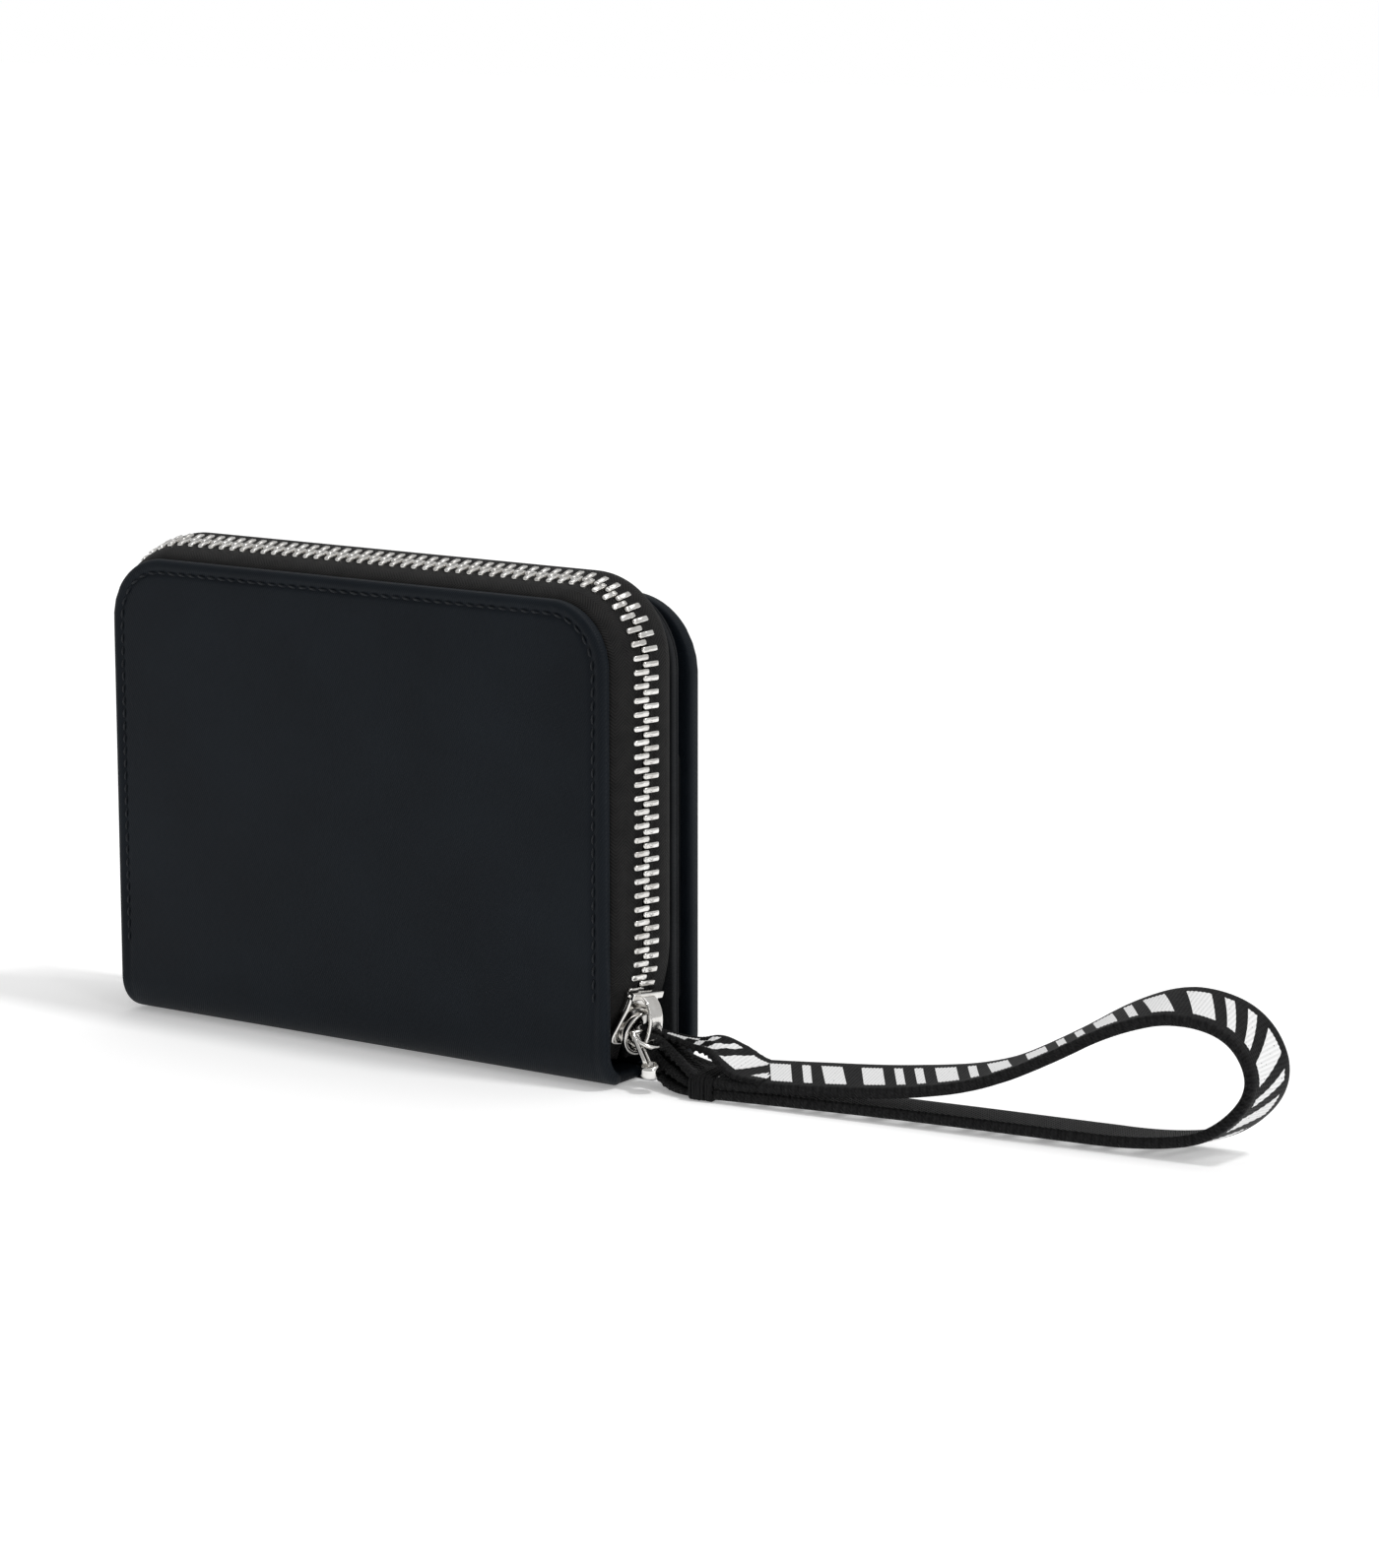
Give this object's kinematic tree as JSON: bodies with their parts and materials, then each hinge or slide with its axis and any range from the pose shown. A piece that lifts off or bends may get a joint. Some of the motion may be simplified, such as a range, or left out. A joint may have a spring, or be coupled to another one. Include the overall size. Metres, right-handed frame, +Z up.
{
  "type": "fold-over zip wallet",
  "caption": "Compact fold-over wallet with a metal-zip coin pocket round three sides, a rear flap over card slots, and a webbing wrist strap on the slider's ring.",
  "frame": {"origin": "middle of the flat underside of the spine, on the table that the wallet stands on", "axes": "+X along the wallet's width towards the slider and strap, -Y out of the zip pocket's front panel, +Z up"},
  "size_m": [0.2435, 0.0311, 0.0939],
  "materials": {
    "nylon_satin": "satin-faced twill, blue-black",
    "lining": "fine matt plain weave, black",
    "board": "flexible stiffener sheet",
    "zip_tape": "herringbone tape, warm black",
    "nickel": "polished nickel plate",
    "webbing": "ribbed webbing, black with a white geometric print"
  },
  "bodies": {
    "pouch": {"spine_cover": "nylon_satin", "pocket_lining": "lining", "middle_board": "board", "card_backing": "lining", "card_slot_1": "lining", "card_slot_2": "lining", "card_slot_3": "lining", "card_slot_4": "lining", "stud_post": "nickel", "zip_tape_rear": "zip_tape", "zip_teeth_rear": "nickel", "zip_bottom_stop": "nickel"},
    "pocket_front": {"front_cover": "nylon_satin", "front_board": "board", "front_lining": "lining", "zip_tape_front": "zip_tape", "zip_teeth_front": "nickel"},
    "flap": {"flap_cover": "nylon_satin", "flap_board": "board", "flap_lining": "lining", "note_pocket": "lining", "stud_cap": "nickel", "stud_socket": "nickel"},
    "slider": {"slider_body": "nickel", "slider_bridge": "nickel"},
    "ring": {"strap_ring": "nickel"},
    "tab": {"pull_tab": "nickel"},
    "strap": {"wrist_strap": "webbing", "strap_fold": "webbing", "strap_seam": "webbing"}
  },
  "joints": [
    {"name": "pocket_open", "type": "hinge", "parent": "pouch", "child": "pocket_front", "pos_m": [0, -0.0115, 0.0015], "axis": [1, 0, 0], "range_deg": [0, 90], "deforming": ["zip_tape_front", "zip_teeth_front"]},
    {"name": "flap_fold", "type": "hinge", "parent": "pouch", "child": "flap", "pos_m": [0, 0.0115, 0.0015], "axis": [-1, 0, 0], "range_deg": [0, 90]},
    {"name": "zip_slide", "type": "slide", "parent": "pouch", "child": "slider", "axis": [0, 0, 1], "range_m": [0, 0.055], "deforming": ["zip_tape_rear", "zip_teeth_rear"]},
    {"name": "ring_swing", "type": "hinge", "parent": "slider", "child": "ring", "pos_m": [0.0613, -0.00415, 0.01403], "axis": [0, -1, 0], "range_deg": [0, 10]},
    {"name": "tab_swing", "type": "hinge", "parent": "slider", "child": "tab", "pos_m": [0.06176, -0.00465, 0.01029], "axis": [0, -1, 0], "range_deg": [0, 50]},
    {"name": "strap_swing", "type": "hinge", "parent": "ring", "child": "strap", "pos_m": [0.05891, -0.00415, 0.00619], "axis": [0, -1, 0], "range_deg": [0, 60], "deforming": ["strap_fold"]}
  ]
}
